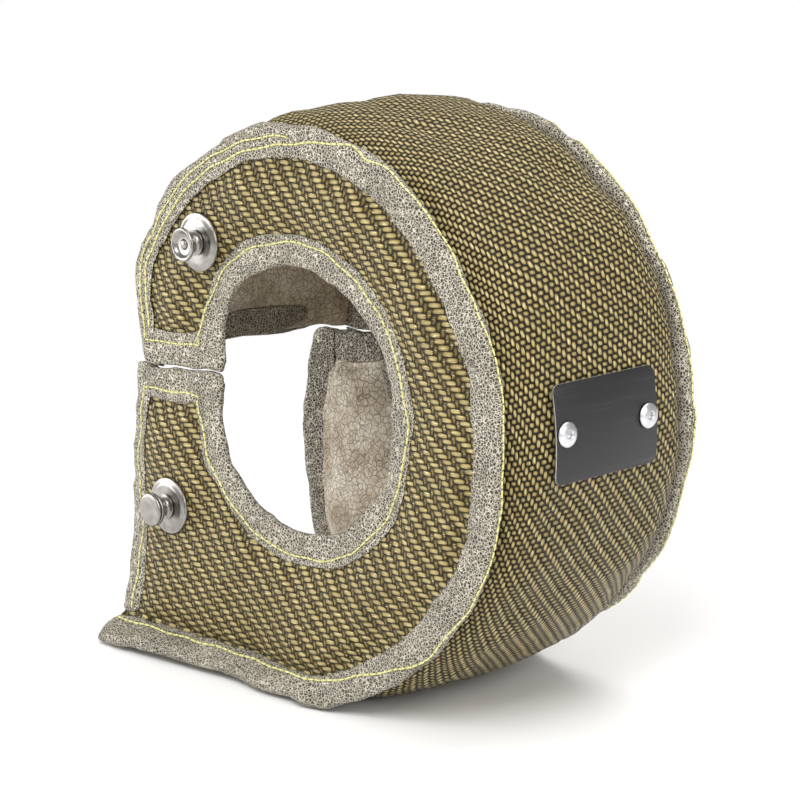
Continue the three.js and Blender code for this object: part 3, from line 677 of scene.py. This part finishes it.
tapes = {}
for part in ("front", "rear", "band"):
    pad = soften(copy_of(f"{part}_insulation", f"{part}_fibre_mat"), 1, lowest=1.0)
    settle_in(give(pad, MAT), "insulation", f"{part}_insulation")
    cloth = soften(copy_of(f"{part}_outer_cloth", f"{part}_woven_cloth"), 2)
    if part == "band":
        measure_band(cloth)
    give(cloth, BAND_CLOTH if part == "band" else FACE_CLOTH)
    settle_in(cloth, "cloth", f"{part}_outer_cloth")
    lining = soften(copy_of(f"{part}_lining", f"{part}_mesh_lining"), 2)
    settle_in(give(lining, LINING), "lining", f"{part}_lining")
for node in ("front_seam_binding", "rear_seam_binding", "front_hole_binding", "rear_hole_binding",
             "front_mouth_binding", "rear_mouth_binding", "band_upper_binding", "band_tail_binding"):
    tape = soften(copy_of(node, node.replace("binding", "tape")), 2)
    if "hole" in node:
        lap_ends(tape)
    tapes[node] = settle_in(give(tape, TAPE), "tape", node)


# Thread
def laid_on(line, targets):
    """Where a line of (spot, way out) meets the pieces that it faces, just proud of them."""
    laid = []
    for spot, way in line:
        best = None
        for target in targets:
            found, where, _, _ = target.ray_cast(spot + way * 0.006, -way, distance=0.012)
            if found and (best is None or (where - spot).dot(way) > (best - spot).dot(way)):
                best = where
        if best is not None:
            laid.append(best + way * 0.00022)
    return laid

def wandering(laid, line):
    """The same line, swaying a little to both sides as a hand-guided seam does."""
    run = 0.0
    swayed = [laid[0]]
    for before, here, after, (_, way) in zip(laid, laid[1:], laid[2:], line[1:]):
        run += (here - before).length / MM
        aside = (after - before).cross(way).normalized()
        swayed.append(here + aside * (0.3 * math.sin(run / 3.1) + 0.25 * math.sin(run / 7.9 + 1)) * MM)
    return swayed + [laid[-1]]

def guide_curve(name, laid):
    guide = bpy.data.curves.new(name + "_guide", "CURVE")
    guide.dimensions = "3D"
    spline = guide.splines.new("POLY")
    spline.points.add(len(laid) - 1)
    for point, where in zip(spline.points, laid):
        point.co = (*where, 1)
    rail = bpy.data.objects.new(name + "_guide", guide)
    bpy.context.scene.collection.objects.link(rail)
    return rail

def stitch_row(name, line, targets, pitch=STITCH_PITCH):
    """A row of stitches along a line of (spot, way out), on the pieces that the line faces."""
    laid = laid_on(line, targets)
    if len(laid) < 2:
        return None
    laid = wandering(laid, line)
    length = sum((b - a).length for a, b in zip(laid, laid[1:]))
    rail = guide_curve(name, laid)
    bpy.ops.object.select_all(action="DESELECT")
    bpy.ops.mesh.primitive_uv_sphere_add(segments=8, ring_count=7, radius=1)
    piece = bpy.context.object
    piece.name = name
    # A flattened strand with full ends, lying along X.
    half_length, half_width, half_depth = 0.46 * pitch, 0.46, 0.36
    co = points_of(piece)
    x = np.sign(co[:, 2]) * np.abs(co[:, 2]) ** 0.6
    co = np.stack([x * half_length, co[:, 0] * half_width, co[:, 1] * half_depth], axis=1) * MM
    co[:, 0] += 0.5 * pitch * MM
    set_points(piece, co)
    row = piece.modifiers.new("row", "ARRAY")
    row.count = max(1, int(length / (pitch * MM)))
    row.use_relative_offset = False
    row.use_constant_offset = True
    row.constant_offset_displace = (pitch * MM, 0, 0)
    follow = piece.modifiers.new("follow", "CURVE")
    follow.object = rail
    follow.deform_axis = "POS_X"
    apply_all(piece)
    bpy.data.objects.remove(rail)
    smooth(face_outwards(piece))
    return settle_in(give(piece, THREAD), "cloth")

CROWN = crown_line()


def hole_line(side, offset):
    """Line at an offset from the free edge, along the upper lip, round the hole and back."""
    way = Vector((0, side, 0))
    corner = HOLE_RADIUS + offset
    lip_gap = SLIT_GAP / 2 + offset

    def lip(direction, outer):
        inner = slit_height(-45, direction) + direction * lip_gap
        inner_x = -math.sqrt(corner ** 2 - (inner - HOLE_LIFT) ** 2) + 2.0
        return [(x, slit_height(x, direction) + direction * lip_gap) for x in np.linspace(outer, inner_x, 30)]
    upper = lip(1, -90.5)
    lower = lip(-1, STITCH_LINE - BACK_EDGE)
    start = math.atan2(upper[-1][1] - HOLE_LIFT, upper[-1][0])
    end = math.atan2(lower[-1][1] - HOLE_LIFT, lower[-1][0])
    arc = [(corner * math.cos(a), HOLE_LIFT + corner * math.sin(a))
           for a in np.linspace(start, end, 220)[2:-2]]
    return [(settle(x, side * STITCH_LEVEL, z), way) for x, z in upper + arc + lower[::-1]]


for name, side in (("front", -1), ("rear", 1)):
    seam = tapes[f"{name}_seam_binding"]
    stitch_row(f"{name}_seam_stitches", [seam_stitch(place, side) for place in CROWN], [seam])
    under_side = [fin_spot(place, TAPE_WIDTH - STITCH_LINE, TAPE_OUTER, side) for place in CROWN]
    stitch_row(f"{name}_seam_under_stitches", under_side, [seam])
    doubled = [fin_spot(place, TAPE_WIDTH - SECOND_LINE, -TAPE_OUTER, side) for place in CROWN[3:62]]
    stitch_row(f"{name}_seam_second_stitches", doubled, [seam])
    for count, x in enumerate(BAR_TACKS):
        tack = [(settle(x + 0.05 * z, side * STITCH_LEVEL, z), Vector((0, side, 0)))
                for z in np.linspace(UPPER_LIP + 0.8, UPPER_LIP + 10.5, 9)]
        stitch_row(f"{name}_bar_tack_stitches_{count + 1}", tack, [seam, tapes[f"{name}_hole_binding"]], 2.4)
    mouth = [(settle(-MOUTH_EDGE + MOUTH_TAPER * step(z, -BACK_BLEND, LOWER_LIP) + STITCH_LINE,
                     side * STITCH_LEVEL, z), Vector((0, side, 0)))
             for z in np.linspace(LOWER_LIP - STITCH_LINE, -96, 60)]
    stitch_row(f"{name}_edge_stitches", hole_line(side, STITCH_LINE) + mouth,
               [seam, tapes[f"{name}_hole_binding"], tapes[f"{name}_mouth_binding"]])


# Turned metal
def turned(name, profile, segments=64, closed=False):
    """Spins a profile of (radius, height) in millimetres about Z, by extruding a ring step by step."""
    bpy.ops.object.select_all(action="DESELECT")
    first_radius, first_height = profile[0]
    bpy.ops.mesh.primitive_circle_add(vertices=segments, radius=first_radius * MM,
                                      fill_type="NOTHING" if closed else "NGON",
                                      location=(0, 0, first_height * MM))
    piece = bpy.context.object
    piece.name = name
    bpy.ops.object.transform_apply(location=True)
    bpy.ops.object.mode_set(mode="EDIT")
    bpy.ops.mesh.select_all(action="SELECT")
    radius, height = first_radius, first_height
    rows = profile[1:] + ([profile[0]] if closed else [])
    for next_radius, next_height in rows:
        rise = (next_height - height) * MM
        growth = next_radius / radius
        bpy.ops.mesh.extrude_region_move(TRANSFORM_OT_translate={"value": (0, 0, rise)})
        bpy.ops.transform.resize(value=(growth, growth, 1), center_override=(0, 0, next_height * MM))
        radius, height = next_radius, next_height
    bpy.ops.mesh.select_all(action="SELECT")
    bpy.ops.mesh.remove_doubles(threshold=1e-6)
    bpy.ops.mesh.normals_make_consistent(inside=False)
    bpy.ops.object.mode_set(mode="OBJECT")
    return smooth(piece, 40)


def move_mesh(piece, matrix):
    piece.data.transform(matrix)
    piece.data.update()
    return piece


FACE_LEVEL = -(HALF_WIDTH + CLOTH_OUTER + FACE_PUFF + CLEARANCE)
WASHER = [(2.2, 1.0), (7.6, 1.0), (8.4, 0.86), (9.4, 0.35), (10.2, 0.04), (10.7, 0.0), (11.0, 0.22),
          (11.0, 0.6), (10.8, 0.95), (10.4, 1.02), (9.9, 1.1), (9.2, 1.45), (8.5, 1.74), (7.8, 1.8),
          (2.2, 1.8)]
SPOOL = [(2.1, 2.1), (4.6, 2.1), (4.8, 2.25), (4.8, 2.6), (4.5, 2.8), (3.7, 3.1), (3.25, 3.7), (3.2, 4.4),
         (3.2, 6.0), (3.35, 6.35), (3.8, 6.55), (4.3, 6.75), (5.4, 7.1), (6.1, 7.45), (6.35, 7.8),
         (6.35, 8.15), (6.25, 8.45), (6.0, 8.65), (5.6, 8.7), (5.2, 8.6), (4.8, 8.3), (4.4, 7.8), (4.0, 7.45),
         (3.6, 7.3), (2.1, 7.3)]
PIN_TOP = {"upper": 8.0, "lower": 7.3}
CAP = [(5.9, 9.0), (6.25, 9.15), (6.35, 9.45), (6.3, 9.75), (6.1, 9.98), (5.7, 10.12), (5.0, 10.18),
       (2.5, 10.2)]
for label, (x, z) in ANCHORS.items():
    placing = (Matrix.Translation(Vector((x, FACE_LEVEL, z + AXIS_HEIGHT)) * MM)
               @ Matrix.Rotation(math.radians(90), 4, "X"))
    top = PIN_TOP[label]
    pin = [(9.2, -13.1), (9.5, -12.9), (9.5, -12.5), (9.2, -12.3), (1.8, -12.3), (1.8, top - 0.6),
           (1.6, top - 0.25), (1.1, top)]
    made = {
        "washer": turned(f"{label}_anchor_dished_washer", WASHER, closed=True),
        "spool": turned(f"{label}_anchor_flared_spool", SPOOL, closed=True),
        "pin": turned(f"{label}_anchor_through_pin", pin),
    }
    if label == "lower":
        made["cap"] = turned(f"{label}_anchor_flat_cap", CAP)
    for part, piece in made.items():
        move_mesh(piece, placing)
        settle_in(give(piece, STEEL), "steel", f"{label}_anchor_{part}")


# Plate and rivets
def bent_plate():
    bpy.ops.object.select_all(action="DESELECT")
    bpy.ops.mesh.primitive_cube_add(size=1)
    piece = bpy.context.object
    piece.name = "bare_name_plate"
    piece.scale = [v * MM for v in PLATE_SIZE]
    bpy.ops.object.transform_apply(scale=True)
    corners = piece.modifiers.new("corners", "BEVEL")
    corners.width = PLATE_CORNER * MM
    corners.segments = 8
    corners.limit_method = "WEIGHT"
    upright = piece.data.attributes.new("bevel_weight_edge", "FLOAT", "EDGE")
    for edge in piece.data.edges:
        a, b = (piece.data.vertices[i].co for i in edge.vertices)
        upright.data[edge.index].value = 1.0 if abs(a.z - b.z) > 0.5 * PLATE_SIZE[2] * MM else 0.0
    apply_all(piece)
    rim = piece.modifiers.new("rim", "BEVEL")
    rim.width = 0.2 * MM
    rim.segments = 2
    rim.limit_method = "ANGLE"
    rim.angle_limit = math.radians(60)
    apply_all(piece)
    activate(piece)
    bpy.ops.object.mode_set(mode="EDIT")
    for share in np.linspace(-0.42, 0.42, 14):
        bpy.ops.mesh.select_all(action="SELECT")
        bpy.ops.mesh.bisect(plane_co=(0, share * PLATE_SIZE[1] * MM, 0), plane_no=(0, 1, 0))
    bpy.ops.object.mode_set(mode="OBJECT")
    co = points_of(piece) / MM
    radius = CROWN_RADIUS + CLEARANCE + PLATE_SIZE[2] / 2 + co[:, 2]
    angle = PLATE_ANGLE + co[:, 1] / CROWN_RADIUS
    set_points(piece, np.stack([radius * np.cos(angle), PLATE_OFFSET + co[:, 0],
                                AXIS_HEIGHT + radius * np.sin(angle)], axis=1) * MM)
    give(face_outwards(piece), PLATE, ALUMINIUM)
    out = Vector((math.cos(PLATE_ANGLE), 0, math.sin(PLATE_ANGLE)))
    for face in piece.data.polygons:
        face.material_index = 1 if abs(face.normal.dot(out)) < 0.5 else 0
    return settle_in(smooth(piece, 30), "plate", "name_plate")


bent_plate()
RIVET = [(2.56, -5.3), (2.56, -4.1), (1.6, -4.1), (1.6, 1.35), (4.3, 1.35), (4.5, 1.5), (4.5, 1.7),
         (4.3, 2.0), (3.8, 2.35), (3.1, 2.68), (2.4, 2.9), (1.8, 2.98), (1.45, 2.95), (1.32, 2.8),
         (1.25, 1.9), (1.2, 1.7)]
BACKING = [(1.9, -3.0), (5.3, -3.0), (5.5, -3.15), (5.5, -3.65), (5.3, -3.8), (1.9, -3.8)]
for label, y in (("front", PLATE_OFFSET - RIVET_REACH), ("rear", PLATE_OFFSET + RIVET_REACH)):
    on_axis = Matrix.Translation(Vector((0, y, AXIS_HEIGHT)) * MM)
    on_crown = Matrix.Translation(Vector((CROWN_RADIUS, 0, 0)) * MM)
    turned_out = Matrix.Rotation(math.radians(90), 4, "Y")
    placing = on_axis @ Matrix.Rotation(-PLATE_ANGLE, 4, "Y") @ on_crown @ turned_out
    rivet = move_mesh(turned(f"{label}_blind_rivet", RIVET, 48), placing)
    settle_in(give(rivet, ALUMINIUM), "aluminium", f"plate_rivet_{label}")
    backing = move_mesh(turned(f"{label}_rivet_backing", BACKING, 48, closed=True), placing)
    settle_in(give(backing, ALUMINIUM), "aluminium", f"rivet_washer_{label}")


# Studio
def pale_floor():
    """Floor that keeps the object's shadow and fades to plain white farther away."""
    bpy.ops.object.select_all(action="DESELECT")
    bpy.ops.mesh.primitive_plane_add(size=6, location=(0, 0, -0.0002))
    floor = bpy.context.object
    floor.name = "pale_floor"
    bpy.ops.object.transform_apply(location=True)
    f = Finish("pale floor", roughness=0.9)
    axes = f.axes(f.place())
    away = f.math("SQRT", f.math("ADD", f.times(axes[0], axes[0]), f.times(axes[1], axes[1])))
    far = f.ramp(away, (0.2, 0.0), (0.55, 1.0))
    ray = f.tree.nodes.new("ShaderNodeLightPath")
    bright = f.node("ShaderNodeEmission", "Emission", Color=(1, 1, 1, 1), Strength=1.0)
    f.surface.inputs["Base Color"].default_value = (0.93, 0.93, 0.93, 1)
    blend = f.tree.nodes.new("ShaderNodeMixShader")
    f.link(f.times(far, ray.outputs["Is Camera Ray"]), blend.inputs[0])
    f.tree.links.new(f.surface.outputs[0], blend.inputs[1])
    f.tree.links.new(bright, blend.inputs[2])
    f.tree.links.new(blend.outputs[0], f.tree.nodes["Material Output"].inputs[0])
    give(floor, f.material)

def pale_room():
    """Soft even light from all round."""
    world = bpy.data.worlds.new("pale room")
    bpy.context.scene.world = world
    world.use_nodes = True
    tree = world.node_tree
    base = tree.nodes["Background"]
    base.inputs["Color"].default_value = (1.0, 0.98, 0.94, 1)
    base.inputs["Strength"].default_value = 0.42
    seen = tree.nodes.new("ShaderNodeBackground")
    seen.inputs["Strength"].default_value = 1.0
    path = tree.nodes.new("ShaderNodeLightPath")
    either = tree.nodes.new("ShaderNodeMath")
    either.operation = "MAXIMUM"
    tree.links.new(path.outputs["Is Camera Ray"], either.inputs[0])
    tree.links.new(path.outputs["Is Transmission Ray"], either.inputs[1])
    blend = tree.nodes.new("ShaderNodeMixShader")
    tree.links.new(either.outputs[0], blend.inputs[0])
    tree.links.new(base.outputs[0], blend.inputs[1])
    tree.links.new(seen.outputs[0], blend.inputs[2])
    tree.links.new(blend.outputs[0], tree.nodes["World Output"].inputs["Surface"])

def broad_lamps():
    """Four broad lamps, each with its place, size and power."""
    middle = Vector((0, 0, 0.11))
    lamps = (("key", (0.5, -0.8, 1.0), 0.6, 11.0), ("right", (1.2, -0.1, 0.7), 0.6, 6.5),
             ("top", (0.1, 0.3, 1.3), 0.9, 9.0), ("left", (-1.0, -0.8, 0.3), 0.7, 9.0))
    for name, where, size, power in lamps:
        light = bpy.data.lights.new(name + "_lamp", "AREA")
        light.size = size
        light.energy = power
        lamp = bpy.data.objects.new(name + "_lamp", light)
        lamp.location = where
        lamp.rotation_euler = (middle - Vector(where)).to_track_quat("-Z", "Y").to_euler()
        bpy.context.scene.collection.objects.link(lamp)

def photo_camera():
    """Camera at the photo's angle, with plain view settings."""
    scene = bpy.context.scene
    scene.view_settings.view_transform = "Standard"
    azimuth, height = math.radians(47.0), math.radians(13.3)
    level = math.cos(height)
    back = Vector((math.sin(azimuth) * level, -math.cos(azimuth) * level, math.sin(height)))
    right = Vector((math.cos(azimuth), math.sin(azimuth), 0))
    up = back.cross(right)
    data = bpy.data.cameras.new("photo_view")
    data.lens = 129.7
    data.sensor_width = 36
    data.clip_start = 0.05
    camera = bpy.data.objects.new("photo_view", data)
    turn = Matrix((right, up, back)).transposed().to_4x4()
    camera.matrix_world = Matrix.Translation(Vector((0.77086, -0.71787, 0.35474))) @ turn
    scene.collection.objects.link(camera)
    scene.camera = camera


pale_floor()
pale_room()
broad_lamps()
photo_camera()
